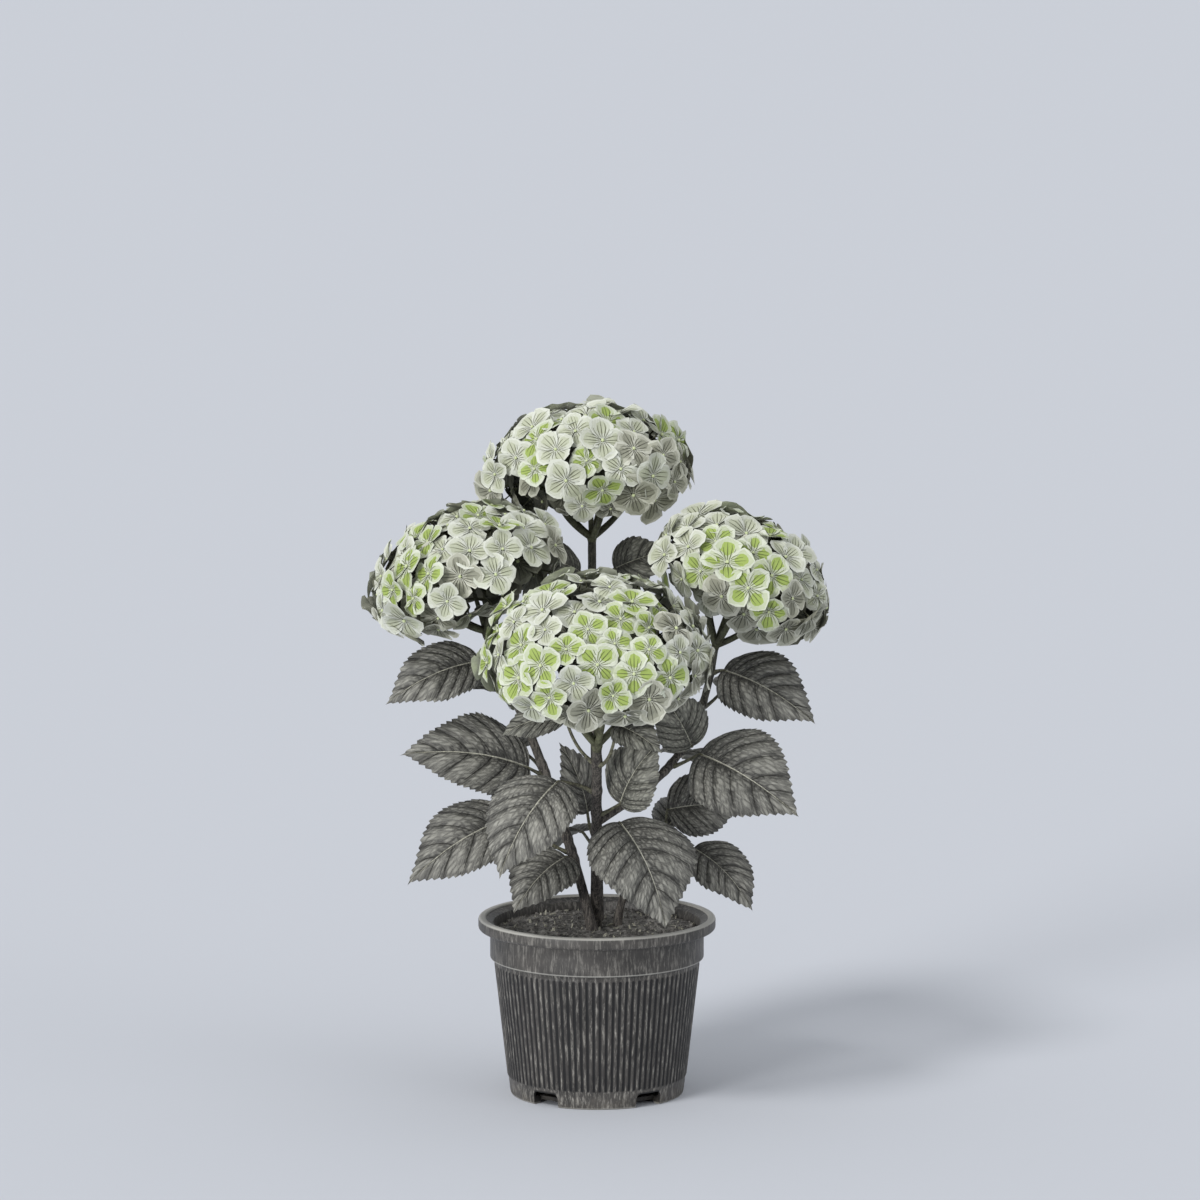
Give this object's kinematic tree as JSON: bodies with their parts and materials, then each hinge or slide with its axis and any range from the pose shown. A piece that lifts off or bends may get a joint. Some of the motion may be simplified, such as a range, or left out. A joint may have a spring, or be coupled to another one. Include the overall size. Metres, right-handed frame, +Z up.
{
  "type": "hydrangea shrub in a nursery pot",
  "caption": "Mophead hydrangea shrub with pale green-white flower heads and toothed leaves on upright canes, growing in a round ribbed plastic nursery pot filled with soil.",
  "frame": {"origin": "centre of the pot's flat underside, on the surface that it stands on", "axes": "+Z up, +X to the plant's right and -Y to its front, seen from the front"},
  "size_m": [0.4117, 0.4232, 0.6117],
  "materials": {
    "pot_plastic": "satin",
    "potting_soil": "matte",
    "cane_bark": "matte",
    "leaf_blade": "matte",
    "flower_sepals": "matte"
  },
  "bodies": {
    "root": {"bough_right": "cane_bark", "cane_front": "cane_bark", "cane_left": "cane_bark", "cane_top": "cane_bark", "cane_young": "cane_bark", "head_front": "flower_sepals", "head_left": "flower_sepals", "head_right": "flower_sepals", "head_top": "flower_sepals", "leaf_back_left_high": "leaf_blade", "leaf_back_left_lower": "leaf_blade", "leaf_back_left_middle": "leaf_blade", "leaf_back_left_upper": "leaf_blade", "leaf_back_low_left": "leaf_blade", "leaf_back_low_right": "leaf_blade", "leaf_back_middle": "leaf_blade", "leaf_back_right_high": "leaf_blade", "leaf_back_right_lower": "leaf_blade", "leaf_back_right_middle": "leaf_blade", "leaf_back_right_upper": "leaf_blade", "leaf_centre_back": "leaf_blade", "leaf_centre_upright": "leaf_blade", "leaf_front_left": "leaf_blade", "leaf_front_right": "leaf_blade", "leaf_left_low": "leaf_blade", "leaf_left_lower": "leaf_blade", "leaf_left_middle": "leaf_blade", "leaf_left_upper": "leaf_blade", "leaf_right_inner": "leaf_blade", "leaf_right_low": "leaf_blade", "leaf_right_middle": "leaf_blade", "leaf_right_upper": "leaf_blade", "leaf_top_left": "leaf_blade", "leaf_top_right": "leaf_blade", "leaf_under_front_left": "leaf_blade", "leaf_under_front_right": "leaf_blade", "leaf_young_tip": "leaf_blade", "pot": "pot_plastic", "soil": "potting_soil"}
  },
  "joints": []
}
